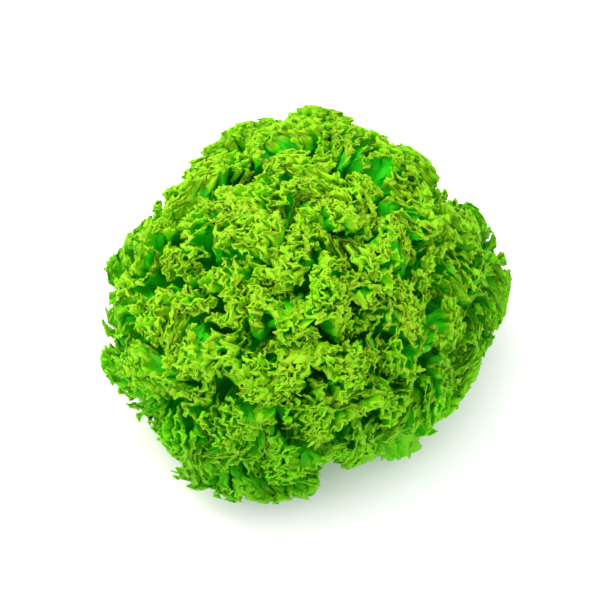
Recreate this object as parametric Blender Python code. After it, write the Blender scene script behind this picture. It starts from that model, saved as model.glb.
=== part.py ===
"""A head of lollo bionda lettuce, as cut from its bed and set down on its butt.

The head is a short stem with a spiral of fan-shaped leaves round it. Each leaf
runs from the stem out to the crown, where its edge is gathered into deep
waves. The space round the stem is shared out along the spiral, one wedge to a
leaf, and a leaf keeps to its own wedge, so no two leaves cross.

A place in the head has three coordinates before it becomes a point in space:
  polar    angle from the top of the crown down to the skirt
  azimuth  angle round the stem
  reach    0 on the stem, 1 on the crown
"""

import math
import random

import bmesh
import bpy
import numpy as np

# The crown: the dome that the frilled edges reach, in metres.
CROWN_RADIUS = 0.120
CROWN_HEIGHT = 0.150
WAIST_HEIGHT = 0.046
SKIRT_DROP = 0.074

# How a leaf's line leaves the stem and meets the crown, as shares of its chord.
FOOT_PULL = 0.26
EDGE_PULL = 0.42
ARCH_TURN = 1.12
ARCH_LENGTH = 1.08

# The crown isn't round: where it stands out or is hollow, as
# (azimuth, polar, width, height in degrees, share of the crown's radius).
CROWN_LUMPS = [
    (10, 85, 24, 40, 0.09),
    (52, 58, 30, 34, 0.13),
    (85, 50, 26, 34, 0.17),
    (124, 60, 14, 40, -0.05),
    (150, 72, 14, 40, -0.02),
    (212, 97, 22, 36, 0.07),
    (-118, 104, 20, 34, 0.13),
    (-76, 108, 11, 26, -0.20),
    (-48, 100, 16, 30, 0.02),
]

# The stem: a cut cylinder with a rounded top, in metres.
STEM_RADIUS = 0.0165
STEM_SHOULDER = 0.023
STEM_HEIGHT = 0.052
LOWEST_LEAF = 0.006
DOME_SHARE = 1.3
STEM_GAP = 0.0003
STEM_SIDES = 28

# The spiral of leaves, from the skirt up to the heart, in degrees and metres.
SPIRAL_START = 110.0
OUTER_PITCH = 22.0
PITCH_DROP = 1.43
SPIRAL_END = 9.2
SPIRAL_TURN = math.radians(-118.0)
OUTER_LEAF_WIDTH = 0.104
INNER_LEAF_WIDTH = 0.040
WIDEST_WEDGE = math.radians(38.0)
WIDTH_SPREAD = 0.12
LEAF_SEED = 27

# A wedge's ends lie over and under its neighbours', from this far across.
OVERLAP_START = 0.6
OVERLAP_RUN = 0.8

# One leaf, as shares of its wedge and of its length.
BASE_SHARE = 0.96
STALK_SHARE = 0.92
STALK_REACH = 0.27
FAN_SHARE = 1.32
FAN_CENTRE = 0.665
FAN_REACH = 0.335
FAN_SWEEP = math.radians(98.0)
WEDGE_FILL = 0.90
CUSHION = 0.075

# The waves along a leaf's edge, in metres.
WAVE_WIDTH = 0.0218
WAVE_LEAN = 0.0014
WAVE_START = 0.26
CALM_SIDE = 0.27
FEWEST_WAVES = 3
UNEVENNESS = 0.14
UNEVEN_BEAT = 1.63

# Thickness of stalk and blade in metres, and how far a fold may stretch it.
STALK_THICKNESS = 0.0040
BLADE_THICKNESS = 0.0009
HEART_THICKNESS = 0.00065
MOST_STRETCH = 1.25
FOLD_ROUNDS = 24

GREEN = (0.30, 0.62, 0.03, 1.0)
PALE_GREEN = (0.62, 0.76, 0.38, 1.0)


def clear_scene():
    for obj in list(bpy.data.objects):
        bpy.data.objects.remove(obj)


def material(name, colour, roughness):
    made = bpy.data.materials.new(name)
    made.use_nodes = True
    shader = made.node_tree.nodes["Principled BSDF"]
    shader.inputs["Base Color"].default_value = colour
    shader.inputs["Roughness"].default_value = roughness
    shader.inputs["Metallic"].default_value = 0.0
    return made


def ease(x):
    """0 below 0, 1 above 1, and smooth between."""
    x = np.clip(x, 0.0, 1.0)
    return x * x * (3.0 - 2.0 * x)


def crown_point(polar, azimuth):
    """Radius and height of the crown at a polar angle and an azimuth."""
    swell = 1.0
    for at, down, wide, tall, share in CROWN_LUMPS:
        aside = np.sin((azimuth - math.radians(at)) / 2) / math.sin(math.radians(wide) / 2)
        above = (polar - math.radians(down)) / math.radians(tall)
        swell = swell + share * np.exp(-(aside**2) - above**2) * np.sin(polar) ** 2
    rise = np.where(np.cos(polar) > 0, CROWN_HEIGHT - WAIST_HEIGHT, SKIRT_DROP)
    return CROWN_RADIUS * np.sin(polar) * swell, WAIST_HEIGHT + rise * np.cos(polar) * swell


def stem_point(polar):
    """Radius and height on the stem where a leaf at this polar angle grows, and the slope it leaves at."""
    turn = np.clip(polar * DOME_SHARE, -math.pi / 2, math.pi / 2)
    dome_end = math.pi / 2 / DOME_SHARE
    lowest = math.radians(SPIRAL_START + OUTER_PITCH / 2)
    below = np.clip((polar - dome_end) / (lowest - dome_end), 0.0, 1.0)
    dome_rise = STEM_HEIGHT - STEM_SHOULDER
    radius = (STEM_RADIUS + STEM_GAP) * np.sin(turn)
    height = STEM_SHOULDER + (dome_rise + STEM_GAP) * np.cos(turn)
    height = height - (STEM_SHOULDER - LOWEST_LEAF) * below
    slope = np.arctan2(STEM_RADIUS * np.cos(turn), dome_rise * np.sin(turn))
    return radius, height, slope


def head_point(polar, azimuth, reach):
    """The point in space of a place in the head: an arched line runs from the stem to the crown."""
    r0, z0, slope0 = stem_point(polar)
    r3, z3 = crown_point(polar, azimuth)
    chord = np.hypot(r3 - r0, z3 - z0)
    slope3 = math.pi / 2 - polar * ARCH_TURN
    near, far = FOOT_PULL * chord, EDGE_PULL * chord
    r1, z1 = r0 + near * np.cos(slope0), z0 + near * np.sin(slope0)
    r2, z2 = r3 - far * np.cos(slope3), z3 - far * np.sin(slope3)
    rest = 1.0 - reach
    w0, w1, w2, w3 = rest**3, 3 * rest**2 * reach, 3 * rest * reach**2, reach**3
    radius = w0 * r0 + w1 * r1 + w2 * r2 + w3 * r3
    height = w0 * z0 + w1 * z1 + w2 * z2 + w3 * z3
    return np.stack([radius * np.cos(azimuth), radius * np.sin(azimuth), height], -1)


def spiral_polar(turned):
    """Polar angle in degrees of the spiral's middle line after this much turn."""
    rounds = turned / (2 * math.pi)
    return SPIRAL_START - OUTER_PITCH * rounds + PITCH_DROP * rounds**2 / 2


def spiral_pitch(turned):
    """Degrees between this round of the spiral and its neighbours, less towards the heart."""
    return OUTER_PITCH - PITCH_DROP * turned / (2 * math.pi)


def lay_out_leaves():
    """Walks the spiral from the skirt to the heart and gives each leaf its wedge."""
    draw = random.Random(LEAF_SEED)
    leaves = []
    turned = 0.0
    while spiral_polar(turned) > SPIRAL_END:
        polar = spiral_polar(turned)
        share = polar / SPIRAL_START
        width = INNER_LEAF_WIDTH + (OUTER_LEAF_WIDTH - INNER_LEAF_WIDTH) * share
        width *= draw.uniform(1 - WIDTH_SPREAD, 1 + WIDTH_SPREAD)
        radius, height = crown_point(math.radians(polar), turned + SPIRAL_TURN)
        foot, foot_height, _ = stem_point(math.radians(polar))
        half = min(0.5 * width / radius, WIDEST_WEDGE)
        length = ARCH_LENGTH * math.hypot(radius - foot, height - foot_height)
        edge = 2 * FAN_SWEEP * math.sqrt(FAN_SHARE * half * radius * FAN_REACH * length)
        leaves.append(
            {
                "polar": polar,
                "turned": turned + half,
                "half": half,
                "half_width": half * radius,
                "length": length,
                "waves": max(FEWEST_WAVES, int(edge / WAVE_WIDTH)),
                "lean": WAVE_LEAN * float(ease(half * radius / OUTER_LEAF_WIDTH * 2)),
                "stalk": STALK_THICKNESS * (0.45 + 0.55 * share),
                "blade": HEART_THICKNESS + (BLADE_THICKNESS - HEART_THICKNESS) * share,
                "phase": draw.uniform(0.0, 2 * math.pi),
                "reach": draw.uniform(0.95, 1.04),
                "skew": draw.uniform(-0.10, 0.10),
            }
        )
        turned += 2 * half
    return leaves


def wedge_band(across):
    """Low and high share of the spiral's band that a leaf may use this far across."""
    low = -0.5 + np.clip((across - OVERLAP_START) / OVERLAP_RUN, 0.0, 1.0)
    high = 0.5 - np.clip((-across - OVERLAP_START) / OVERLAP_RUN, 0.0, 1.0)
    return low, high


def leaf_surface(leaf, a, b):
    """Points of the leaf's middle surface.

    a runs along the edge from -1 to 1. b is -1 on the stem, 0 at the top of
    the stalk and 1 at the edge.
    """
    turn = math.pi * leaf["waves"] * (a + 1)
    sweep = FAN_SWEEP * (a + leaf["skew"] * np.sin(math.pi * a))
    rise = np.clip(b, 0.0, 1.0)
    foot = np.clip(-b, 0.0, 1.0)
    stalk = STALK_SHARE * (1 - foot) + BASE_SHARE * foot
    across = a * stalk * (1 - rise) + FAN_SHARE * np.sin(sweep) * rise
    edge_reach = FAN_CENTRE + FAN_REACH * np.cos(sweep)
    reach = STALK_REACH * (1 - rise) * (1 - foot) + edge_reach * rise

    grow = ease((b - WAVE_START) / (1 - WAVE_START))
    grow = grow * ease((1 - np.abs(a)) / CALM_SIDE)
    height = 1 - UNEVENNESS + UNEVENNESS * np.sin(UNEVEN_BEAT * turn + leaf["phase"])
    wave = grow * height * np.cos(turn)
    low, high = wedge_band(across)
    along_x = np.cos(sweep) * FAN_SHARE * leaf["half_width"]
    along_q = -np.sin(sweep) * FAN_REACH * leaf["length"]
    lean = leaf["lean"] * grow * (high - low) * np.sin(2 * turn) / np.hypot(along_x, along_q)
    across = across + lean * along_x / leaf["half_width"]
    reach = reach + lean * along_q / leaf["length"]
    reach = reach * (1 + (leaf["reach"] - 1) * rise) - CUSHION * rise * wave * wave

    low, high = wedge_band(across)
    band = (low + high) / 2 + WEDGE_FILL * (high - low) / 2 * wave
    turned = leaf["turned"] + across * leaf["half"]
    polar = np.radians(spiral_polar(turned) + spiral_pitch(turned) * band)
    return head_point(polar, turned + SPIRAL_TURN, reach)


def leaf_rows(waves):
    """Rows of points from stem to edge, each as b and its places along a."""
    corners = (np.arange(4 * waves) + 0.5) / (2 * waves) - 1
    folds = np.arange(1, 2 * waves) / waves - 1
    edge = np.concatenate([[-1.0], corners, [1.0]])
    return [
        (-1.0, np.linspace(-1, 1, 5)),
        (-0.5, np.linspace(-1, 1, 5)),
        (0.0, np.linspace(-1, 1, 5)),
        (0.32, np.linspace(-1, 1, waves + 1)),
        (0.58, np.concatenate([[-1.0], folds, [1.0]])),
        (0.82, edge),
        (1.0, edge),
    ]


def stitch(lower, low_at, upper, up_at):
    """Triangles between two rows of point numbers, matched by their places along a."""
    faces = []
    i = j = 0
    while i < len(lower) - 1 or j < len(upper) - 1:
        next_low = low_at[i] + low_at[i + 1] if i < len(lower) - 1 else 9.0
        next_up = up_at[j] + up_at[j + 1] if j < len(upper) - 1 else 9.0
        if next_up <= next_low:
            faces.append((lower[i], upper[j + 1], upper[j]))
            j += 1
        else:
            faces.append((lower[i], lower[i + 1], upper[j]))
            i += 1
    return faces


def thickness(leaf, a, b):
    """Thickest along the middle of the stalk, thin at the edge."""
    rib = 1 - 0.7 * a**2 if b <= 0 else (1 - np.abs(a)) * ease(1 - b / 0.6)
    return leaf["blade"] + (leaf["stalk"] - leaf["blade"]) * rib


def corner_offsets(points, faces, thick):
    """How far each point moves to either side, so that the faces round it end up that thick."""
    corners = points[faces]
    facing = np.cross(corners[:, 1] - corners[:, 0], corners[:, 2] - corners[:, 0])
    facing /= np.linalg.norm(facing, axis=1, keepdims=True)
    owner = faces.T.ravel()
    facing = np.tile(facing, (3, 1))
    normal = np.zeros_like(points)
    np.add.at(normal, owner, facing)
    worst = np.zeros(len(points), int)
    for _ in range(FOLD_ROUNDS):
        normal /= np.linalg.norm(normal, axis=1, keepdims=True)
        turned = (normal[owner] * facing).sum(1)
        order = np.argsort(-turned)
        worst[owner[order]] = order
        normal += facing[worst] / FOLD_ROUNDS
    normal /= np.linalg.norm(normal, axis=1, keepdims=True)
    flattest = (normal * facing[worst]).sum(1)
    stretch = 1 / np.clip(flattest, 1 / MOST_STRETCH, 1)
    return normal * (thick / 2 * stretch)[:, None]


def sheet_to_solid(points, faces, offsets):
    """A closed solid: the same triangles on both sides, and a rim round the border."""
    count = len(points)
    sides = {(f[k], f[(k + 1) % 3]) for f in faces.tolist() for k in range(3)}
    rim = [edge for edge in sorted(sides) if edge[::-1] not in sides]
    solid = faces.tolist() + (faces[:, ::-1] + count).tolist()
    for i, j in rim:
        solid.append((j, i, i + count))
        solid.append((j, i + count, j + count))
    return np.concatenate([points + offsets, points - offsets]), solid


def make_leaf(name, leaf, finish):
    points, thick, faces, rows = [], [], [], []
    for b, a in leaf_rows(leaf["waves"]):
        first = sum(len(row) for row in points)
        rows.append((range(first, first + len(a)), a))
        points.append(leaf_surface(leaf, a, np.full_like(a, b)))
        thick.append(thickness(leaf, a, b))
    for (lower, low_at), (upper, up_at) in zip(rows, rows[1:]):
        faces += stitch(lower, low_at, upper, up_at)
    points = np.concatenate(points)
    faces = np.array(faces)
    offsets = corner_offsets(points, faces, np.concatenate(thick))

    # The leaf's foot is cut along the stem, so its end face lies against it.
    foot = rows[0][0]
    turned = leaf["turned"] + rows[0][1] * BASE_SHARE * leaf["half"]
    slope = stem_point(np.radians(spiral_polar(turned)))[2]
    azimuth = turned + SPIRAL_TURN
    along = np.stack(
        [-np.sin(slope) * np.cos(azimuth), -np.sin(slope) * np.sin(azimuth), np.cos(slope)], -1
    )
    side = np.sign((offsets[foot] * along).sum(1))
    offsets[foot] = along * (side * np.concatenate(thick)[foot] / 2)[:, None]

    solid_points, solid_faces = sheet_to_solid(points, faces, offsets)
    mesh = bpy.data.meshes.new(name)
    mesh.from_pydata(solid_points.tolist(), [], solid_faces)
    mesh.materials.append(finish)
    obj = bpy.data.objects.new(name, mesh)
    bpy.context.scene.collection.objects.link(obj)
    return obj


def make_stem(finish):
    """A turned solid: flat cut face below, rounded tip above."""
    steps = 9
    profile = [(0.0, 0.0), (STEM_RADIUS - 0.0012, 0.0), (STEM_RADIUS, 0.0015)]
    for k in range(steps):
        turn = math.pi / 2 * (1 - k / steps)
        rise = (STEM_HEIGHT - STEM_SHOULDER) * math.cos(turn)
        profile.append((STEM_RADIUS * math.sin(turn), STEM_SHOULDER + rise))
    profile.append((0.0, STEM_HEIGHT))
    shape = bmesh.new()
    points = [shape.verts.new((r, 0.0, z)) for r, z in profile]
    edges = [shape.edges.new(pair) for pair in zip(points, points[1:])]
    bmesh.ops.spin(
        shape,
        geom=points + edges,
        cent=(0, 0, 0),
        axis=(0, 0, 1),
        angle=2 * math.pi,
        steps=STEM_SIDES,
        use_merge=True,
    )
    bmesh.ops.remove_doubles(shape, verts=shape.verts, dist=1e-6)
    bmesh.ops.recalc_face_normals(shape, faces=shape.faces)
    mesh = bpy.data.meshes.new("stem")
    shape.to_mesh(mesh)
    shape.free()
    mesh.materials.append(finish)
    mesh.shade_smooth()
    mesh.set_sharp_from_angle(angle=math.radians(40))
    obj = bpy.data.objects.new("stem", mesh)
    bpy.context.scene.collection.objects.link(obj)
    return obj


def tier_name(polar):
    if polar > 88:
        return "outer_leaf"
    if polar > 50:
        return "middle_leaf"
    return "inner_leaf" if polar > 26 else "heart_leaf"


def make_head():
    clear_scene()
    green = material("leaf green", GREEN, 0.45)
    pale = material("stem pale green", PALE_GREEN, 0.5)
    make_stem(pale)
    for number, leaf in enumerate(lay_out_leaves(), start=1):
        make_leaf(f"{tier_name(leaf['polar'])}_{number:02d}", leaf, green)


make_head()
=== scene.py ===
# %% [markdown]
# # A head of lollo bionda lettuce
#
# Lollo bionda is a loose-leaf lettuce. Its leaves stand in a spiral round a
# short stem, and each one widens to a fan. The edge of the fan grows faster
# than the rest, so it has no room to lie flat and gathers itself into waves,
# then into smaller crimps on the waves, and last into teeth. That is all there
# is to the look of the head, so this lesson spends most of its cells on one
# leaf and then grows every leaf of the head the same way.
#
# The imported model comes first. It holds a plain solid for each leaf and one
# for the stem. Every leaf made below takes the place of one of them, and the
# stem stays.

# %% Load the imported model
import math
import random

import bpy
import numpy as np
from mathutils import Euler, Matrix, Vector


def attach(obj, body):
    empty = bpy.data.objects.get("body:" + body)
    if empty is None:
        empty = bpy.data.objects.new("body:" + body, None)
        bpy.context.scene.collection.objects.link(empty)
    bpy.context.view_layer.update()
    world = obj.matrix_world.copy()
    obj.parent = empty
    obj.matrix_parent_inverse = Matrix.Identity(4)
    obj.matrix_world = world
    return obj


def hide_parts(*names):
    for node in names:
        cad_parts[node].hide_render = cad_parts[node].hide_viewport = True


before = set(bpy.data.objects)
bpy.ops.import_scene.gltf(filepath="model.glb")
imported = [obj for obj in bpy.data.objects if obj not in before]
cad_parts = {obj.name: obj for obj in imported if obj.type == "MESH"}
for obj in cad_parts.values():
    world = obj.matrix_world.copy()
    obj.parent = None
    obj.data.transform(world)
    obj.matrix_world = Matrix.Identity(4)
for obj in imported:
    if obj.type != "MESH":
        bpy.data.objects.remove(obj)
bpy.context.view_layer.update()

leaf_names = [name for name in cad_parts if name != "stem"]
leaf_names.sort(key=lambda name: int(name.rsplit("_", 1)[-1]))

# %% [markdown]
# ## The crown
#
# A place in the head is easier to give along the head's own directions than
# in x, y and z. So it gets a polar angle, from the top of the crown down to
# the skirt, an azimuth round the stem, and a reach, which is 0 on the stem and
# 1 on the crown.
#
# The crown is the dome that the leaves' edges make together. A sphere would
# look like a ball, because a real head bulges where a strong leaf pushes out
# and is hollow beside it. So the dome is flattened below, and each bulge or
# hollow is one smooth lump added to its radius.

# %% The dome with its lumps
CROWN_RADIUS = 0.120
CROWN_HEIGHT = 0.150
WAIST_HEIGHT = 0.046
SKIRT_DROP = 0.074

# (azimuth, polar angle, width and height in degrees, share of the crown's radius)
CROWN_LUMPS = [
    (10, 85, 24, 40, 0.09),
    (52, 58, 30, 34, 0.13),
    (85, 50, 26, 34, 0.17),
    (124, 60, 14, 40, -0.05),
    (150, 72, 14, 40, -0.02),
    (212, 97, 22, 36, 0.07),
    (-118, 104, 20, 34, 0.13),
    (-76, 108, 11, 26, -0.20),
    (-48, 100, 16, 30, 0.02),
]


def ease(x):
    """0 below 0, 1 above 1, and smooth between."""
    x = np.clip(x, 0.0, 1.0)
    return x * x * (3.0 - 2.0 * x)


def crown_point(polar, azimuth):
    """Radius and height of the crown at a polar angle and an azimuth."""
    swell = 1.0
    for at, down, wide, tall, share in CROWN_LUMPS:
        aside = np.sin((azimuth - math.radians(at)) / 2) / math.sin(math.radians(wide) / 2)
        above = (polar - math.radians(down)) / math.radians(tall)
        swell = swell + share * np.exp(-(aside**2) - above**2) * np.sin(polar) ** 2
    rise = np.where(np.cos(polar) > 0, CROWN_HEIGHT - WAIST_HEIGHT, SKIRT_DROP)
    return CROWN_RADIUS * np.sin(polar) * swell, WAIST_HEIGHT + rise * np.cos(polar) * swell


ring = crown_point(math.pi / 2, np.linspace(0, 2 * math.pi, 361))[0]
print(f"the crown's radius runs from {ring.min():.3f} to {ring.max():.3f} m round its waist")

# %% [markdown]
# ## The stem that carries it
#
# All leaves grow from a stem about as thick as a thumb, with a rounded top.
# The innermost leaves grow from the top and stand upright, and the outermost
# from just above the cut. So the polar angle also says where on the stem a
# leaf starts, and in which direction it leaves.

# %% Where a leaf grows
STEM_RADIUS = 0.0165
STEM_SHOULDER = 0.023
STEM_HEIGHT = 0.052
LOWEST_LEAF = 0.006
# how fast a leaf's foot moves down the stem's rounded top as its polar angle grows
DOME_SHARE = 1.3
STEM_GAP = 0.0003

# polar angles in degrees: where the spiral starts, how far apart its rounds are
# there, how much closer they lie after each round, and where it ends
SPIRAL_START = 110.0
OUTER_PITCH = 22.0
PITCH_DROP = 1.43
SPIRAL_END = 9.2
# the azimuth at which it starts
SPIRAL_TURN = math.radians(-118.0)


def stem_point(polar):
    """Radius and height on the stem where a leaf grows, and the slope it leaves at."""
    turn = np.clip(polar * DOME_SHARE, -math.pi / 2, math.pi / 2)
    dome_end = math.pi / 2 / DOME_SHARE
    lowest = math.radians(SPIRAL_START + OUTER_PITCH / 2)
    below = np.clip((polar - dome_end) / (lowest - dome_end), 0.0, 1.0)
    dome_rise = STEM_HEIGHT - STEM_SHOULDER
    radius = (STEM_RADIUS + STEM_GAP) * np.sin(turn)
    height = STEM_SHOULDER + (dome_rise + STEM_GAP) * np.cos(turn)
    height = height - (STEM_SHOULDER - LOWEST_LEAF) * below
    slope = np.arctan2(STEM_RADIUS * np.cos(turn), dome_rise * np.sin(turn))
    return radius, height, slope


def spiral_polar(turned):
    """Polar angle in degrees of the spiral's middle line after this much turn."""
    rounds = turned / (2 * math.pi)
    return SPIRAL_START - OUTER_PITCH * rounds + PITCH_DROP * rounds**2 / 2


def spiral_pitch(turned):
    """Degrees between this round of the spiral and its neighbours."""
    return OUTER_PITCH - PITCH_DROP * turned / (2 * math.pi)


for polar in (SPIRAL_END, SPIRAL_START):
    radius, height, _ = stem_point(math.radians(polar))
    print(f"a leaf at {polar:.0f} degrees grows {1000 * height:.0f} mm up, {1000 * radius:.0f} mm out")

# %% [markdown]
# ## The arch of a leaf
#
# A leaf rises along the stem, then arches over and points outwards where it
# meets the crown. A Bezier curve needs just those facts: two ends and the
# directions there. It stands in one upright plane, so arches side by side
# never meet.

# %% From the stem to the crown
# length of the curve's two handles, as shares of the straight line between its ends
FOOT_PULL = 0.26
EDGE_PULL = 0.42
# how far the arch has turned over at the crown, for each degree of polar angle
ARCH_TURN = 1.12
# length of an arch, for each metre of that straight line
ARCH_LENGTH = 1.08


def head_point(polar, azimuth, reach):
    """The point of a place in the head: an arched line runs from the stem to the crown."""
    r0, z0, slope0 = stem_point(polar)
    r3, z3 = crown_point(polar, azimuth)
    chord = np.hypot(r3 - r0, z3 - z0)
    slope3 = math.pi / 2 - polar * ARCH_TURN
    near, far = FOOT_PULL * chord, EDGE_PULL * chord
    r1, z1 = r0 + near * np.cos(slope0), z0 + near * np.sin(slope0)
    r2, z2 = r3 - far * np.cos(slope3), z3 - far * np.sin(slope3)
    rest = 1.0 - reach
    w0, w1, w2, w3 = rest**3, 3 * rest**2 * reach, 3 * rest * reach**2, reach**3
    radius = w0 * r0 + w1 * r1 + w2 * r2 + w3 * r3
    height = w0 * z0 + w1 * z1 + w2 * z2 + w3 * z3
    return np.stack([radius * np.cos(azimuth), radius * np.sin(azimuth), height], -1)


def arch_length(polar, azimuth):
    """About how long the arch is here: a little more than the straight line."""
    radius, height = crown_point(polar, azimuth)
    foot, foot_height, _ = stem_point(polar)
    return ARCH_LENGTH * np.hypot(radius - foot, height - foot_height)


halfway = head_point(math.radians(60.0), 0.0, 0.5)
print(f"halfway up an arch at 60 degrees: {np.round(halfway, 3).tolist()}")

# %% [markdown]
# ## Who grows where
#
# Walking the spiral from the skirt up to the heart gives every leaf its wedge
# of the head. The draws have a fixed seed and come in a fixed order, so each
# leaf gets the same width, phase, reach and skew as the plain solid of the
# same number, and grows where that one stands.

# %% Share out the wedges
OUTER_LEAF_WIDTH = 0.104
INNER_LEAF_WIDTH = 0.040
WIDEST_WEDGE = math.radians(38.0)
WIDTH_SPREAD = 0.12
SHORTEST_REACH, LONGEST_REACH = 0.95, 1.04
LARGEST_SKEW = 0.10
LEAF_SEED = 27

# the fan's edge is an arc: its width as a share of the wedge's, half its height
# as a share of the leaf's length, and the angle that it sweeps each way
FAN_SHARE = 1.32
FAN_REACH = 0.335
FAN_SWEEP = math.radians(98.0)

FEWEST_WAVES = 3
WAVE_WIDTH = 0.0218


def lay_out_leaves():
    """One entry per leaf, from the skirt up to the heart."""
    draw = random.Random(LEAF_SEED)
    leaves = []
    turned = 0.0
    while spiral_polar(turned) > SPIRAL_END:
        polar = spiral_polar(turned)
        share = polar / SPIRAL_START
        width = INNER_LEAF_WIDTH + (OUTER_LEAF_WIDTH - INNER_LEAF_WIDTH) * share
        width *= draw.uniform(1 - WIDTH_SPREAD, 1 + WIDTH_SPREAD)
        radius = crown_point(math.radians(polar), turned + SPIRAL_TURN)[0]
        half = min(0.5 * width / radius, WIDEST_WEDGE)
        length = arch_length(math.radians(polar), turned + SPIRAL_TURN)
        edge = 2 * FAN_SWEEP * math.sqrt(FAN_SHARE * half * radius * FAN_REACH * length)
        leaves.append(
            {
                "share": share,
                "turned": turned + half,
                "half": half,
                "half_width": half * radius,
                "length": length,
                "waves": max(FEWEST_WAVES, int(edge / WAVE_WIDTH)),
                "room": float(ease(half * radius / OUTER_LEAF_WIDTH * 2)),
                "phase": draw.uniform(0.0, 2 * math.pi),
                "reach": draw.uniform(SHORTEST_REACH, LONGEST_REACH),
                "skew": draw.uniform(-LARGEST_SKEW, LARGEST_SKEW),
            }
        )
        turned += 2 * half
    return leaves


leaves = lay_out_leaves()
print(f"{len(leaves)} wedges, {sum(leaf['waves'] for leaf in leaves)} waves round the edges")

# %% [markdown]
# ## The folded fan
#
# A leaf's surface has two directions of its own: a runs along the edge from -1
# to 1, and b climbs from 0 at the top of the stalk to 1 at the edge, with -1
# on the stem. A quarter of the way up, broad waves start, and swing from one
# side of the leaf's wedge to the other. Nearer the edge there is more leaf to
# put away, and narrower folds take their place.
#
# Each leaf keeps to its own wedge of the spiral, so that the folded fans lie
# close beside each other and don't cross, but for one low pair. The fan's
# sides hang a little lower than its middle, and the innermost leaves lean in
# and close over the growing point.

# %% A leaf's middle surface
# where a wedge starts to share its band with the next one, and over what width
OVERLAP_START = 0.6
OVERLAP_RUN = 0.8
# the leaf's width on the stem and at the top of its stalk, as shares of the wedge
BASE_SHARE = 0.96
STALK_SHARE = 0.92
STALK_REACH = 0.27
FAN_CENTRE = 0.665
# how much of the wedge the waves swing across, and how far they round inwards
WEDGE_FILL = 0.93
CUSHION = 0.09

# where on the blade waves and folds start, and how far in metres they lean over
WAVE_START = 0.26
WAVE_LEAN = 0.0014
FOLDS_PER_WAVE = 1.8
FOLD_START = 0.46
FOLD_LEAN = 0.0009
# the part at each end of the edge over which they die away
CALM_SIDE = 0.12
SIDE_FALL = 0.6
HEART_CLOSING = 0.6
HEART_WIDTH = 18.0
# how much the waves differ in height, and how often that comes round
UNEVENNESS = 0.14
UNEVEN_BEAT = 1.63
EDGE_SAMPLES = 6001


def wedge_band(across):
    """Low and high share of the spiral's band that a leaf may use this far across."""
    low = -0.5 + np.clip((across - OVERLAP_START) / OVERLAP_RUN, 0.0, 1.0)
    high = 0.5 - np.clip((-across - OVERLAP_START) / OVERLAP_RUN, 0.0, 1.0)
    return low, high


def leaf_place(leaf, a, b):
    """Polar angle, azimuth and reach of the folded fan, before it gets its crimps."""
    turn = math.pi * leaf["waves"] * (a + 1)
    fold_turn = FOLDS_PER_WAVE * turn
    sweep = FAN_SWEEP * (a + leaf["skew"] * np.sin(math.pi * a))
    rise = np.clip(b, 0.0, 1.0)
    foot = np.clip(-b, 0.0, 1.0)
    stalk = STALK_SHARE * (1 - foot) + BASE_SHARE * foot
    across = a * stalk * (1 - rise) + FAN_SHARE * np.sin(sweep) * rise
    edge_reach = 1 - SIDE_FALL * (1 - FAN_CENTRE - FAN_REACH * np.cos(sweep))
    reach = STALK_REACH * (1 - rise) * (1 - foot) + edge_reach * rise

    calm = ease((1 - np.abs(a)) / CALM_SIDE)
    fold = ease((b - FOLD_START) / (1 - FOLD_START)) * calm
    wave = ease((b - WAVE_START) / (1 - WAVE_START)) * calm - fold
    height = 1 - UNEVENNESS + UNEVENNESS * np.sin(UNEVEN_BEAT * turn + leaf["phase"])
    swing = height * (wave * np.cos(turn) + fold * np.cos(fold_turn))
    slide = wave * WAVE_LEAN * np.sin(2 * turn) + fold * FOLD_LEAN * np.sin(2 * fold_turn)
    low, high = wedge_band(across)
    along_x = np.cos(sweep) * FAN_SHARE * leaf["half_width"]
    along_q = -np.sin(sweep) * SIDE_FALL * FAN_REACH * leaf["length"]
    slide = slide * leaf["room"] * (high - low) / np.hypot(along_x, along_q)
    across = across + slide * along_x / leaf["half_width"]
    reach = reach + slide * along_q / leaf["length"]
    reach = reach * (1 + (leaf["reach"] - 1) * rise) - CUSHION * rise * swing * swing

    low, high = wedge_band(across)
    band = (low + high) / 2 + WEDGE_FILL * (high - low) / 2 * swing
    turned = leaf["turned"] + across * leaf["half"]
    polar = spiral_polar(turned) + spiral_pitch(turned) * band
    polar = polar * (1 - HEART_CLOSING * np.exp(-((polar / HEART_WIDTH) ** 2)) * ease(reach))
    return np.radians(polar), turned + SPIRAL_TURN, reach


def leaf_surface(leaf, a, b):
    return head_point(*leaf_place(leaf, a, b))


def line_length(points):
    """Length along a row of points after each of them, from 0."""
    steps = np.linalg.norm(np.diff(points, axis=0), axis=1)
    return np.concatenate([[0.0], np.cumsum(steps)])


along = np.linspace(-1, 1, EDGE_SAMPLES)
edge_lengths = [line_length(leaf_surface(leaf, along, np.ones_like(along)))[-1] for leaf in leaves]
print(f"folded edges: {min(edge_lengths):.2f} to {max(edge_lengths):.2f} m, {sum(edge_lengths):.1f} m in all")

# %% [markdown]
# ## Rows and columns
#
# Before it is crimped, each leaf is a blank: one thin sheet laid on the folded
# fan. The crimps need many points at the edge, and a sheet that is as dense
# everywhere would be far too heavy. So its columns lie close together along
# the edge, and further in they are merged two by two, down to the stalk.

# %% The grid of a blank
COLUMN_WIDTH = 0.00030
# (distance from the edge in metres, how many columns are merged into one there)
ROWS = [
    (0.0000, 1),
    (0.0018, 2),
    (0.0042, 2),
    (0.0076, 4),
    (0.0122, 8),
    (0.0180, 8),
    (0.0260, 16),
    (0.0370, 16),
    (0.0520, 16),
]
# (b, how many columns are merged into one there)
STALK_ROWS = [(0.10, 32), (0.0, 32), (-0.35, 32), (-0.7, 32), (-1.0, 32)]
# every leaf's count of columns is a multiple of this, so that they merge evenly
COLUMN_STEP = 32
ROW_GAP = 0.04
DEPTH_SAMPLES = 60


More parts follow.
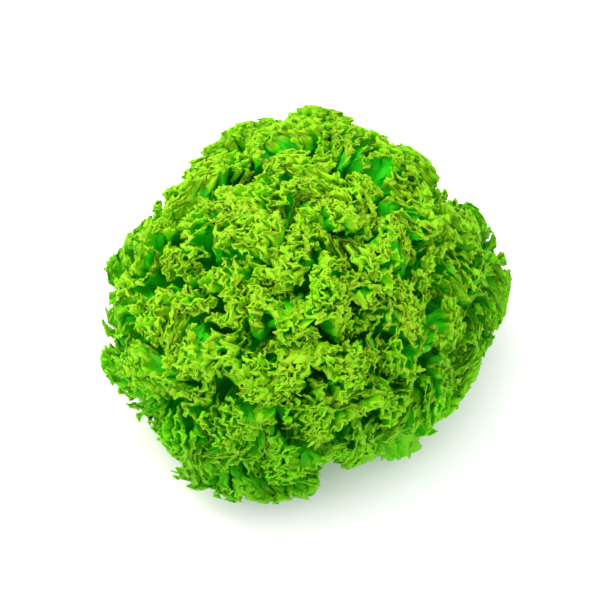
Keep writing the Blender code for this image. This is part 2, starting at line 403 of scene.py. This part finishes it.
def even_columns(leaf):
    """Places a along the edge, evenly spaced on the folded edge."""
    length = line_length(leaf_surface(leaf, along, np.ones_like(along)))
    count = COLUMN_STEP * round(length[-1] / COLUMN_WIDTH / COLUMN_STEP)
    return np.interp(np.linspace(0, length[-1], count + 1), length, along)


def leaf_rows(leaf):
    """(b, distance from the edge, columns merged) of each row from the stem up, and the depth."""
    b = np.linspace(0, 1, DEPTH_SAMPLES)
    depth = line_length(leaf_surface(leaf, np.zeros_like(b), b))[-1]
    rows = [(b, depth * (1 - max(b, 0.0)), merged) for b, merged in STALK_ROWS[::-1]]
    for away, merged in ROWS[::-1]:
        b = 1 - away / depth
        if b > STALK_ROWS[0][0] + ROW_GAP:
            rows.append((b, away, merged))
    return rows, depth


def join_rows(low, up):
    """Faces between two rows of point numbers, the upper with as many columns or twice as many."""
    if len(low) == len(up):
        return np.stack([low[:-1], low[1:], up[1:], up[:-1]], 1).tolist()
    left, middle, right = up[:-2:2], up[1:-1:2], up[2::2]
    faces = np.stack([low[:-1], middle, left], 1).tolist()
    faces += np.stack([low[:-1], low[1:], middle], 1).tolist()
    faces += np.stack([low[1:], right, middle], 1).tolist()
    return faces


first_rows, first_depth = leaf_rows(leaves[0])
print(f"the first leaf has {len(even_columns(leaves[0]))} columns and {len(first_rows)} rows")
print(f"its blade is {1000 * first_depth:.0f} mm from stalk to edge")

# %% [markdown]
# ## Teeth and lobes
#
# The very edge isn't a smooth line. It ends in pointed teeth 1 to 3 mm long,
# and swings in and out in shallow lobes between them. Both are drawn at
# random along the edge, as a length that each column is made longer or shorter
# by. The lobes of the oldest leaves are deeper.

# %% Lengths along the edge
COLUMNS_PER_TOOTH = 7
TOOTH_LENGTH = 0.0026
SHORTEST_TOOTH, LONGEST_TOOTH = 0.3, 1.2
LOBE_LENGTH = 0.0016
LOBE_COLUMNS = 11
# the distance from the edge at which the lobes have died away
LOBE_DEPTH = 0.0085
# leaves from this share of the spiral outwards have deeper lobes, by up to so much
LOBED_FROM = 0.8
OUTER_LOBES = 1.0


def teeth(count, draw):
    """How far the edge stands out at each column, as a row of pointed teeth."""
    place = np.arange(count) / COLUMNS_PER_TOOTH
    which = place.astype(int)
    lengths = draw.uniform(SHORTEST_TOOTH, LONGEST_TOOTH, which[-1] + 1) * TOOTH_LENGTH
    return lengths[which] * (1 - np.abs(2 * (place - which) - 1))


def lobes(count, draw, share):
    """How far the edge swings in and out at each column."""
    knots = draw.uniform(-1.0, 1.0, count // LOBE_COLUMNS + 2) * LOBE_LENGTH
    knots = knots * (1 + OUTER_LOBES * ease((share - LOBED_FROM) / (1 - LOBED_FROM)))
    place = np.arange(count) / LOBE_COLUMNS
    low = place.astype(int)
    part = ease(place - low)
    return knots[low] * (1 - part) + knots[low + 1] * part


sample = teeth(1000, np.random.default_rng(0))
print(f"teeth stand out by up to {1000 * sample.max():.1f} mm")

# %% [markdown]
# ## The blank
#
# The sheet itself is built from numbers, because every point's place follows
# from the rules above. What the next steps need is written on its points as
# attributes: how far each one is from the edge and under the crown, how thick
# the leaf is there, where on the leaf it lies, and how old the leaf is, from
# the heart out to the skirt. A rib thickens the middle of the stalk and runs
# out past the middle of the blade.

# %% A sheet with its attributes
STALK_THICKNESS = 0.0040
# thickness of a stalk at the growing point, as a share of the oldest leaf's
YOUNG_STALK = 0.45
# how much of its extra thickness a stalk loses towards its sides
STALK_ROUNDING = 0.7
BLADE_THICKNESS = 0.00050
EDGE_THICKNESS = 0.00032
THIN_EDGE = 0.012
RIB_END = 0.6
MARKS = ("away", "deep", "thick", "across", "climb", "age")


def leaf_thickness(leaf, a, b, away):
    """Thickness of the leaf in metres: thin at the edge, thick along the rib."""
    rib = 1 - STALK_ROUNDING * a**2 if b <= 0 else (1 - np.abs(a)) * ease(1 - b / RIB_END)
    blade = EDGE_THICKNESS + (BLADE_THICKNESS - EDGE_THICKNESS) * ease(away / THIN_EDGE)
    stalk = STALK_THICKNESS * (YOUNG_STALK + (1 - YOUNG_STALK) * leaf["share"])
    return blade + (stalk - blade) * rib


def blank_sheet(name, leaf, seed):
    """The leaf's sheet, with what the crimps need written on its points."""
    columns = even_columns(leaf)
    draw = np.random.default_rng(seed)
    tooth = teeth(len(columns), draw)
    lobe = lobes(len(columns), draw, leaf["share"])
    points = []
    marks = {mark: [] for mark in MARKS}
    faces, last, first = [], None, 0
    rows, depth = leaf_rows(leaf)
    for b, away, merged in rows:
        a = columns[::merged]
        longer = tooth if away == 0 else 0.0
        longer = longer + lobe[::merged] * max(0.0, 1 - away / LOBE_DEPTH)
        polar, azimuth, reach = leaf_place(leaf, a, b + longer / depth)
        points.append(head_point(polar, azimuth, reach))
        marks["away"].append(np.full_like(a, away))
        marks["deep"].append((1 - reach) * arch_length(polar, azimuth))
        marks["thick"].append(leaf_thickness(leaf, a, b, away))
        marks["across"].append(a)
        marks["climb"].append(np.full_like(a, b))
        marks["age"].append(np.full_like(a, leaf["share"]))
        row = np.arange(first, first + len(a))
        if last is not None:
            faces += join_rows(last, row)
        first += len(a)
        last = row
    mesh = bpy.data.meshes.new(name)
    mesh.from_pydata(np.concatenate(points).tolist(), [], faces)
    for mark, values in marks.items():
        attribute = mesh.attributes.new(mark, "FLOAT", "POINT")
        attribute.data.foreach_set("value", np.concatenate(values))
    mesh.shade_smooth()
    return mesh


trial = blank_sheet("trial", leaves[0], 0)
print(f"the first blank has {len(trial.vertices)} points and {len(trial.polygons)} faces")
bpy.data.meshes.remove(trial)

# %% [markdown]
# ## Sums on sockets
#
# A node tree is a sum written as boxes and wires, which is hard to read in a
# script. So this class lets a socket stand in an ordinary Python expression:
# each operator adds the node that does it, and hands back the new socket.
# Numbers go through Math nodes, and vectors through Vector Math nodes. Any
# other node comes from one function, which takes the node's type, its
# settings, and the values or wires of its sockets.

# %% A socket that can be used in arithmetic
class Wire:
    """A socket of a node tree, with the operators that the trees below use."""

    def __init__(self, tree, socket):
        self.tree = tree
        self.socket = socket

    def outlet(self, name):
        """Another output of the same node."""
        return Wire(self.tree, self.socket.node.outputs[name])

    def is_vector(self):
        return self.socket.type == "VECTOR"

    def sum(self, operation, *terms):
        """One Math node, or a Vector Math node where a term is a vector."""
        vectors = any(isinstance(term, Wire) and term.is_vector() for term in terms)
        kind = "ShaderNodeVectorMath" if vectors else "ShaderNodeMath"
        return add(self.tree, kind, {"operation": operation}, dict(enumerate(terms)))

    def __add__(self, other):
        return self.sum("ADD", self, other)

    def __radd__(self, other):
        return self.sum("ADD", other, self)

    def __sub__(self, other):
        return self.sum("SUBTRACT", self, other)

    def __rsub__(self, other):
        return self.sum("SUBTRACT", other, self)

    def __mul__(self, other):
        if self.is_vector() and not (isinstance(other, Wire) and other.is_vector()):
            settings = {"operation": "SCALE"}
            return add(self.tree, "ShaderNodeVectorMath", settings, {0: self, "Scale": other})
        return self.sum("MULTIPLY", self, other)

    def __rmul__(self, other):
        return self * other

    def __pow__(self, other):
        return self.sum("POWER", self, other)

    def sine(self):
        return self.sum("SINE", self)

    def size(self):
        return self.sum("ABSOLUTE", self)

    def cross(self, other):
        return self.sum("CROSS_PRODUCT", self, other)

    def dot(self, other):
        settings = {"operation": "DOT_PRODUCT"}
        return add(self.tree, "ShaderNodeVectorMath", settings, {0: self, 1: other}, "Value")

    def unit(self):
        return self.sum("NORMALIZE", self)

    def step(self, low, high):
        """0 below low, 1 above high, and smooth between."""
        settings = {"interpolation_type": "SMOOTHSTEP"}
        inputs = {"Value": self, "From Min": low, "From Max": high}
        return add(self.tree, "ShaderNodeMapRange", settings, inputs)


def add(tree, kind, settings=None, inputs=None, output=0):
    """Adds a node: first its settings, then the values or wires of its sockets."""
    node = tree.nodes.new(kind)
    for name, value in (settings or {}).items():
        setattr(node, name, value)
    for key, value in (inputs or {}).items():
        for one in value if isinstance(value, list) else [value]:
            if isinstance(one, Wire):
                tree.links.new(one.socket, node.inputs[key])
            else:
                node.inputs[key].default_value = one
    return Wire(tree, node.outputs[output]) if node.outputs else None


trial = bpy.data.node_groups.new("trial", "GeometryNodeTree")
result = 1 - (add(trial, "GeometryNodeInputPosition").dot((0, 0, 1)) * 2).sine()
print(f"one expression made {len(trial.nodes)} nodes, and the last is {result.socket.node.name}")
bpy.data.node_groups.remove(trial)

# %% [markdown]
# ## Crimps made by sliding slices
#
# The edge of a real leaf is crimped so tightly that its folds touch, yet they
# never pass through each other. Points that are pushed along their normals
# cross at once. A shear slides whole layers past each other instead, so points
# that were apart stay apart. Here each layer is a slice through the head,
# square to one heading, and it slides sideways along the crown by an amount
# that rises and falls from slice to slice. Four such shears, one after the
# other, with their headings spread evenly, bend a straight edge into loops.
#
# That holds for points and for even shears only. Here the faces between the
# points are flat, and the shears fade inwards, and about half of the faces
# still cut through another face of the same leaf. The folds hide it.
#
# On the real head one place is calmer: the old leaves low on the right of the
# camera have flattened. So the crimps are lower round that side.

# %% Shears and where they are weaker
CROWN_CENTRE = (0.0, 0.0, WAIST_HEIGHT)
FLAT_AZIMUTH = math.radians(-45.0)
FLAT_POLAR = math.radians(106.0)
FLAT_SHARE = 0.55
# cosines of the angles from the calm side's middle at which it starts and is complete
FLAT_RIM = 0.88
FLAT_MIDDLE = 0.98


def named(tree, name, kind="FLOAT"):
    """An attribute of the mesh, by its name."""
    inputs = {"Name": name}
    return add(tree, "GeometryNodeInputNamedAttribute", {"data_type": kind}, inputs)


def headings(draw):
    """Four unit vectors, spread as the diagonals of a cube that is turned at random."""
    turn = Euler([draw.uniform(0, 2 * math.pi) for _ in range(3)]).to_matrix()
    corners = [(1, 1, 1), (1, -1, -1), (-1, 1, -1), (-1, -1, 1)]
    return [tuple(turn @ Vector(corner).normalized()) for corner in corners]


def shear(tree, sheet, heading, width, height, start):
    """Slides the sheet along the crown, in waves that follow one another along a heading."""
    place = add(tree, "GeometryNodeInputPosition")
    outward = (place - CROWN_CENTRE).unit()
    turn = place.dot(heading) * (2 * math.pi / width) + start
    offset = outward.cross(heading) * (turn.sine() * height)
    return add(tree, "GeometryNodeSetPosition", None, {"Geometry": sheet, "Offset": offset})


def liveliness(tree):
    """How high the crimps rise here: 1 over most of the head, less round its flat side."""
    around = math.sin(FLAT_POLAR)
    middle = (
        around * math.cos(FLAT_AZIMUTH),
        around * math.sin(FLAT_AZIMUTH),
        math.cos(FLAT_POLAR),
    )
    outward = (add(tree, "GeometryNodeInputPosition") - CROWN_CENTRE).unit()
    return 1 - outward.dot(middle).step(FLAT_RIM, FLAT_MIDDLE) * FLAT_SHARE


flat_width = 2 * math.degrees(math.acos(FLAT_RIM))
print(f"the calm side is {flat_width:.0f} degrees wide and loses {FLAT_SHARE:.0%} of its crimps")

# %% [markdown]
# ## Two skins and a rim
#
# The sheet has no thickness, and a real leaf has a little. Solidify could give
# it one, but would need a vertex group to vary it over the leaf. Here the
# thickness is already written on each point. So the sheet is doubled, its two
# skins are moved apart by that thickness, and a rim joins them. Where the two
# copies meet, their points are merged, so the leaf is one closed solid. The
# rim is shaded flat, because it meets both skins at a right angle.

# %% Thickening a sheet
WELD_DISTANCE = 1e-6


def thicken(tree, sheet):
    """A closed solid from a sheet: each point is as thick as its own attribute says."""
    settings = {"data_type": "FLOAT_VECTOR", "domain": "POINT"}
    normal = add(tree, "GeometryNodeInputNormal")
    inputs = {"Geometry": sheet, "Name": "facing", "Value": normal}
    sheet = add(tree, "GeometryNodeStoreNamedAttribute", settings, inputs)
    half = named(tree, "facing", "FLOAT_VECTOR") * (named(tree, "thick") * 0.5)

    inputs = {"Mesh": sheet, "Offset Scale": 0.0, "Individual": False}
    front = add(tree, "GeometryNodeExtrudeMesh", {"mode": "FACES"}, inputs)
    top, side = front.outlet("Top"), front.outlet("Side")
    inputs = {"Geometry": front, "Selection": top, "Offset": half}
    front = add(tree, "GeometryNodeSetPosition", None, inputs)
    under = add(tree, "FunctionNodeBooleanMath", {"operation": "NOT"}, {0: top})
    inputs = {"Geometry": front, "Selection": under, "Offset": half * -1.0}
    front = add(tree, "GeometryNodeSetPosition", None, inputs)

    inputs = {"Geometry": sheet, "Offset": half * -1.0}
    back = add(tree, "GeometryNodeSetPosition", None, inputs)
    back = add(tree, "GeometryNodeFlipFaces", None, {"Mesh": back})
    both = add(tree, "GeometryNodeJoinGeometry", None, {"Geometry": [back, front]})
    inputs = {"Geometry": both, "Distance": WELD_DISTANCE}
    solid = add(tree, "GeometryNodeMergeByDistance", None, inputs)
    solid = add(tree, "GeometryNodeSetShadeSmooth", None, {"Geometry": solid})
    inputs = {"Geometry": solid, "Selection": side, "Shade Smooth": False}
    return add(tree, "GeometryNodeSetShadeSmooth", None, inputs)


print(f"a leaf is {1000 * EDGE_THICKNESS} mm thick at its edge, {1000 * BLADE_THICKNESS} mm on its blade")

# %% [markdown]
# ## The tree that crimps a sheet
#
# One Geometry Nodes tree does all this to every sheet. It shears three times
# over, each time four ways: broad bends, crimps on the bends, and curls on the
# crimps. All leaves share the same slices, so neighbours move nearly together.
# Bends and crimps fade with the depth under the crown, and curls with the
# distance from the leaf's own edge. Two leaves that lie close can therefore
# slide by different amounts, and at some crimps one still cuts into the other.

# %% Build the tree
HEADING_SEED = 5
# distance in metres from one wave of a shear to the next
BEND_WIDTH = 0.0400
CRIMP_WIDTH = 0.0070
CURL_WIDTH = 0.0037
LEVELS = ("Bend", "Crimp", "Curl")


def crimping_tree():
    tree = bpy.data.node_groups.new("crimped leaf", "GeometryNodeTree")
    face = tree.interface
    face.new_socket("Geometry", in_out="INPUT", socket_type="NodeSocketGeometry")
    for level in LEVELS:
        face.new_socket(f"{level} Height", in_out="INPUT", socket_type="NodeSocketFloat")
        face.new_socket(f"{level} Reach", in_out="INPUT", socket_type="NodeSocketFloat")
    face.new_socket("Material", in_out="INPUT", socket_type="NodeSocketMaterial")
    face.new_socket("Geometry", in_out="OUTPUT", socket_type="NodeSocketGeometry")
    given = add(tree, "NodeGroupInput")

    settings = {"data_type": "FLOAT", "domain": "POINT"}
    inputs = {"Geometry": given.outlet("Geometry"), "Name": "lively", "Value": liveliness(tree)}
    sheet = add(tree, "GeometryNodeStoreNamedAttribute", settings, inputs)
    away, deep, lively = named(tree, "away"), named(tree, "deep"), named(tree, "lively")
    draw = random.Random(HEADING_SEED)
    for level, width, depth, strength in (
        ("Bend", BEND_WIDTH, deep, 1.0),
        ("Crimp", CRIMP_WIDTH, deep, lively),
        ("Curl", CURL_WIDTH, away, lively),
    ):
        fading = 1 - depth.step(0.0, given.outlet(f"{level} Reach"))
        height = given.outlet(f"{level} Height") * fading * strength
        for heading in headings(draw):
            sheet = shear(tree, sheet, heading, width, height, draw.uniform(0, 2 * math.pi))

    solid = thicken(tree, sheet)
    solid = add(tree, "GeometryNodeRealizeInstances", None, {"Geometry": solid})
    inputs = {"Geometry": solid, "Material": given.outlet("Material")}
    solid = add(tree, "GeometryNodeSetMaterial", None, inputs)
    add(tree, "NodeGroupOutput", None, {"Geometry": solid})
    return tree


crimping = crimping_tree()
print(f"the crimping tree has {len(crimping.nodes)} nodes")

# %% [markdown]
# ## What a leaf looks like
#
# A lettuce leaf is thin enough to glow when light falls on its far side, so
# its shader is part Principled, for the waxy skin, and part Translucent. Two
# translucent shaders share the glow, a yellower one at the edge and a greener
# one on the blade, because a shader's own colour can't be baked there while
# the share between two shaders can.
#
# The colour runs from a bright yellow-green at the teeth, where there is
# hardly any leaf, through yellow-green to a deep green on the blade, and to a
# paler green on the rib. The yellow margin is the leaf's own, but the
# brightness of the teeth and edge is also a painted highlight on the lit tops of
# the frills, and the deeper green further in is also painted shade in the pits
# between the folds. The outermost, lowest leaves are painted darker and greener
# all over: painted shade on the low side of the head. Veins fan out from the
# stalk, and fine cells between them make the skin slightly bumpy. The
# attributes on the sheet say where all of that lies, so it follows every fold.

# %% The leaf's material
# The tip, edge and blade colours are the leaf's own tints and also paint light: a painted highlight at the
# teeth, lit frill tops at the edge, and painted shade deeper on the blade.
TIP_COLOUR_AND_HIGHLIGHT = (0.57, 0.87, 0.020, 1.0)
EDGE_COLOUR_AND_LIT_TOP = (0.46, 0.84, 0.003, 1.0)
BLADE_COLOUR_AND_PIT_SHADE = (0.034, 0.78, 0.003, 1.0)
RIB_COLOUR = (0.16, 0.50, 0.03, 1.0)
GLOW_COLOUR = (0.28, 0.92, 0.005, 1.0)
DEEP_GLOW_COLOUR = (0.04, 0.94, 0.004, 1.0)
# painted shade: the darker, greener colour of the outermost, lowest leaves
OUTER_SHADE_COLOUR = (0.13, 0.62, 0.004, 1.0)
# from the first of these shares of the spiral to the second, leaves turn darker and greener: painted shade on
# the low side of the head
OUTER_SHADE_SPAN = (0.35, 0.95)
OUTER_SHADE_SHARE = 0.65
GLOW_SHARE = 0.54
DEEP_GLOW_LOSS = 0.10
RIB_GLOW_LOSS = 0.20

# distances from the edge between which one colour gives way to the next: the painted highlight to the lit
# edge, and the lit edge to the painted shade on the blade
TIP_END = (0.0003, 0.0022)
EDGE_END = (0.0014, 0.0080)
# how far across and up the leaf the rib's colour reaches
RIB_WIDTH = 0.75
RIB_CLIMB = 0.55

BLOTCH_SCALE = 60.0
BLOTCH_DETAIL = 3.0
BLOTCH_SHIFT = 0.002
CELL_SCALE = 260.0
CELL_WALL = 0.25
VEINS_ACROSS = 31.0
VEIN_WANDER = 1.5
VEIN_WIDTH = 0.25
RELIEF_STRENGTH = 0.35
RELIEF_HEIGHT = 0.0004

WAXY, DULL = 0.42, 0.62
SHEEN = 0.25


def blend_colours(tree, factor, first, second):
    """The first colour where the factor is 0, the second where it is 1."""
    settings = {"data_type": "RGBA", "clamp_factor": True}
    return add(tree, "ShaderNodeMix", settings, {0: factor, 6: first, 7: second}, 2)


def read_mark(tree, mark):
    """A number that was written on the points of the sheet."""
    return add(tree, "ShaderNodeAttribute", {"attribute_name": mark}, output="Fac")


def leaf_relief(tree, place, across, blotch):
    """Height of the skin: fine cells, and veins that fan out across the leaf."""
    settings = {"feature": "DISTANCE_TO_EDGE"}
    cells = add(tree, "ShaderNodeTexVoronoi", settings, {"Vector": place, "Scale": CELL_SCALE})
    veins = (across * VEINS_ACROSS + blotch * VEIN_WANDER).sine().size()
    return cells.step(0.0, CELL_WALL) * 0.5 + veins.step(0.0, VEIN_WIDTH) * 0.5


def leaf_material():
    made = bpy.data.materials.new("lettuce leaf")
    made.use_nodes = True
    tree = made.node_tree
    tree.nodes.clear()
    away, across, climb, age = (read_mark(tree, mark) for mark in ("away", "across", "climb", "age"))
    place = add(tree, "ShaderNodeTexCoord", output="Object")
    inputs = {"Vector": place, "Scale": BLOTCH_SCALE, "Detail": BLOTCH_DETAIL}
    blotch = add(tree, "ShaderNodeTexNoise", None, inputs)

    # painted light and shade: this mask takes the colour from the lit edge to the painted shade of the blade
    depth = (away + (blotch - 0.5) * BLOTCH_SHIFT).step(*EDGE_END)
    rib = (1 - across.size().step(0.0, RIB_WIDTH)) * (1 - climb.step(0.0, RIB_CLIMB))
    colour = blend_colours(tree, away.step(*TIP_END), TIP_COLOUR_AND_HIGHLIGHT, EDGE_COLOUR_AND_LIT_TOP)
    colour = blend_colours(tree, depth, colour, BLADE_COLOUR_AND_PIT_SHADE)
    # painted shade: the outermost, lowest leaves are made darker and greener all over
    colour = blend_colours(tree, age.step(*OUTER_SHADE_SPAN) * OUTER_SHADE_SHARE, colour, OUTER_SHADE_COLOUR)
    colour = blend_colours(tree, rib, colour, RIB_COLOUR)
    relief = leaf_relief(tree, place, across, blotch)
    inputs = {"Strength": RELIEF_STRENGTH, "Distance": RELIEF_HEIGHT, "Height": relief}
    bump = add(tree, "ShaderNodeBump", None, inputs)

    inputs = {
        "Base Color": colour,
        "Roughness": blotch * (DULL - WAXY) + WAXY,
        "Normal": bump,
        "Specular IOR Level": SHEEN,
    }
    skin = add(tree, "ShaderNodeBsdfPrincipled", None, inputs)
    glow = add(tree, "ShaderNodeBsdfTranslucent", None, {"Color": GLOW_COLOUR})
    deep_glow = add(tree, "ShaderNodeBsdfTranslucent", None, {"Color": DEEP_GLOW_COLOUR})
    glow = add(tree, "ShaderNodeMixShader", None, {0: depth, 1: glow, 2: deep_glow})
    share = GLOW_SHARE - depth * DEEP_GLOW_LOSS - rib * RIB_GLOW_LOSS
    mixed = add(tree, "ShaderNodeMixShader", None, {0: share, 1: skin, 2: glow})
    add(tree, "ShaderNodeOutputMaterial", None, {"Surface": mixed})
    return made


leaf_green = leaf_material()
print(f"the leaf's material has {len(leaf_green.node_tree.nodes)} nodes")

# %% [markdown]
# ## Growing the leaves
#
# Every leaf is its own blank put through the same tree. The leaf's number is
# the seed of its teeth and lobes, so no two edges are alike and each comes out
# the same on every run. The result is made a plain mesh, which takes the place
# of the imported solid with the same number.

# %% Grow them all
# heights and reaches in metres: how far each level slides the sheet, and how far
# in from the edge or the crown it does so
CRIMPS = {
    "Bend Height": 0.0090,
    "Bend Reach": 0.0700,
    "Crimp Height": 0.0024,
    "Crimp Reach": 0.0350,
    "Curl Height": 0.0010,
    "Curl Reach": 0.0085,
    "Material": leaf_green,
}


def set_inputs(modifier, values):
    """Sets a tree's inputs, which a modifier knows by their sockets' identifiers."""
    for item in modifier.node_group.interface.items_tree:
        if item.in_out == "INPUT" and item.name in values:
            modifier[item.identifier] = values[item.name]


def grow_leaf(number, leaf, node):
    sheet = blank_sheet(f"{node}_blank", leaf, number)
    piece = bpy.data.objects.new(f"{node}_frilled", sheet)
    bpy.context.scene.collection.objects.link(piece)
    modifier = piece.modifiers.new("crimps", "NODES")
    modifier.node_group = crimping
    set_inputs(modifier, CRIMPS)
    graph = bpy.context.evaluated_depsgraph_get()
    mesh = bpy.data.meshes.new_from_object(piece.evaluated_get(graph))
    mesh.name = piece.name
    piece.modifiers.clear()
    piece.data = mesh
    bpy.data.meshes.remove(sheet)
    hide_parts(node)
    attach(piece, "root")
    return piece


frilled = [
    grow_leaf(number, leaf, node)
    for number, (leaf, node) in enumerate(zip(leaves, leaf_names), start=1)
]
triangles = [sum(len(face.vertices) - 2 for face in piece.data.polygons) for piece in frilled]
print(f"{len(frilled)} leaves, {sum(triangles)} triangles, at most {max(triangles)} in one")

# %% [markdown]
# ## The stem
#
# The stem is short and thick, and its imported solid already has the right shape,
# so it stays and only gets a material. Its side is green. Underneath it was cut
# with a knife: the pith shows pale there, and the milky sap at the rim of the
# cut has dried to a rusty brown.
#
# The material finds the cut by its height above the floor, and the rim by its
# distance from the stem's axis.

# %% The stem's material
STEM_DARK = (0.16, 0.42, 0.04, 1.0)
STEM_LIGHT = (0.30, 0.55, 0.10, 1.0)
PITH_COLOUR = (0.60, 0.66, 0.34, 1.0)
SAP_COLOUR = (0.36, 0.17, 0.06, 1.0)
DRIED_SHARE = 0.8

# heights and distances from the axis in metres
CUT_TOP = (0.0002, 0.0012)
SAP_RING = (0.0105, 0.0155)
SAP_WANDER = 0.004

GRAIN_SCALE = 180.0
GRAIN_DETAIL = 4.0
GRAIN_STRENGTH = 0.4
GRAIN_HEIGHT = 0.0005
SMOOTH, ROUGH = 0.35, 0.55


def stem_material():
    made = bpy.data.materials.new("cut stem")
    made.use_nodes = True
    tree = made.node_tree
    tree.nodes.clear()
    place = add(tree, "ShaderNodeTexCoord", output="Object")
    inputs = {"Vector": place, "Scale": GRAIN_SCALE, "Detail": GRAIN_DETAIL}
    grain = add(tree, "ShaderNodeTexNoise", None, inputs)
    sideways = place.cross((0.0, 0.0, 1.0))
    from_axis = sideways.dot(sideways) ** 0.5
    on_cut = 1 - place.dot((0.0, 0.0, 1.0)).step(*CUT_TOP)
    dried = (from_axis + grain * SAP_WANDER).step(*SAP_RING)
    colour = blend_colours(tree, grain, STEM_DARK, STEM_LIGHT)
    cut_colour = blend_colours(tree, dried * DRIED_SHARE, PITH_COLOUR, SAP_COLOUR)
    colour = blend_colours(tree, on_cut, colour, cut_colour)
    inputs = {"Strength": GRAIN_STRENGTH, "Distance": GRAIN_HEIGHT, "Height": grain}
    bump = add(tree, "ShaderNodeBump", None, inputs)
    dullness = grain * (ROUGH - SMOOTH) + SMOOTH
    inputs = {"Base Color": colour, "Roughness": dullness, "Normal": bump}
    skin = add(tree, "ShaderNodeBsdfPrincipled", None, inputs)
    add(tree, "ShaderNodeOutputMaterial", None, {"Surface": skin})
    return made


stem_green = stem_material()
for material_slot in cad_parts["stem"].material_slots:
    material_slot.material = stem_green

# %% [markdown]
# ## The floor
#
# The head stands on a plain pale floor, as in a studio. It is wide enough to
# fill the picture from every side, and dull, so that it only takes a shadow.

# %% A pale floor
FLOOR_HALF = 3.0
FLOOR_COLOUR = (0.92, 0.92, 0.92, 1.0)
FLOOR_ROUGHNESS = 0.8

mesh = bpy.data.meshes.new("floor")
corners = [(-1, -1), (1, -1), (1, 1), (-1, 1)]
mesh.from_pydata([(x * FLOOR_HALF, y * FLOOR_HALF, 0) for x, y in corners], [], [(0, 1, 2, 3)])
floor = bpy.data.objects.new("floor", mesh)
bpy.context.scene.collection.objects.link(floor)
pale = bpy.data.materials.new("pale floor")
pale.use_nodes = True
paint = pale.node_tree.nodes["Principled BSDF"]
paint.inputs["Base Color"].default_value = FLOOR_COLOUR
paint.inputs["Roughness"].default_value = FLOOR_ROUGHNESS
mesh.materials.append(pale)
print(f"the floor is {2 * FLOOR_HALF:.0f} m wide")

# %% [markdown]
# ## Light
#
# In the photo the upper left of the head is the brightest part and the lower
# right the darkest, and the folds are soft all over. So a broad, warm lamp
# stands behind the head on the left, a weaker one in front of it, and an even
# white sky fills the rest.

# %% Lamps and sky
LIT_PLACE = (0.0, 0.0, 0.06)
LAMP_SIZE = 0.9
# (name, place, power in watts, colour)
LAMPS = [
    ("key", (-0.55, 0.42, 0.90), 10.6, (1.0, 0.85, 0.64)),
    ("fill", (-0.7, -0.6, 0.8), 1.5, (1.0, 1.0, 1.0)),
]
SKY_STRENGTH = 1.45


def aim(obj, target):
    """Turns a lamp or camera to face a point."""
    direction = Vector(target) - obj.location
    obj.rotation_euler = direction.to_track_quat("-Z", "Y").to_euler()


def make_lamp(name, place, power, colour):
    lamp = bpy.data.lights.new(name, "AREA")
    lamp.shape = "DISK"
    lamp.size = LAMP_SIZE
    lamp.energy = power
    lamp.color = colour
    obj = bpy.data.objects.new(name, lamp)
    obj.location = place
    bpy.context.scene.collection.objects.link(obj)
    aim(obj, LIT_PLACE)


for lamp_row in LAMPS:
    make_lamp(*lamp_row)
world = bpy.data.worlds.new("studio")
world.use_nodes = True
sky = world.node_tree.nodes["Background"]
sky.inputs["Color"].default_value = (1, 1, 1, 1)
sky.inputs["Strength"].default_value = SKY_STRENGTH
bpy.context.scene.world = world
bpy.context.scene.view_settings.view_transform = "Standard"
print(f"{len(LAMPS)} lamps and a sky of strength {SKY_STRENGTH}")

# %% [markdown]
# ## The camera
#
# The photo looks down on the head from the front: the crown hides the stem,
# and the far side is just in view. The head is about as tall in the picture as
# it is wide, which a low, wide dome like this one is from 55 degrees up.

# %% Look down at the head
CAMERA_TILT = math.radians(55.0)
CAMERA_AWAY = 0.90
VIEW_WIDTH = 0.372
VIEW_CENTRE = (0.004, 0.0, 0.058)
SENSOR_WIDTH = 36.0

lens = bpy.data.cameras.new("camera")
lens.sensor_width = SENSOR_WIDTH
lens.lens = SENSOR_WIDTH * CAMERA_AWAY / VIEW_WIDTH
camera = bpy.data.objects.new("camera", lens)
back = Vector((0.0, -math.cos(CAMERA_TILT), math.sin(CAMERA_TILT)))
camera.location = Vector(VIEW_CENTRE) + back * CAMERA_AWAY
bpy.context.scene.collection.objects.link(camera)
aim(camera, VIEW_CENTRE)
bpy.context.scene.camera = camera
print(f"the camera is {CAMERA_AWAY} m away, with a lens of {lens.lens:.0f} mm")
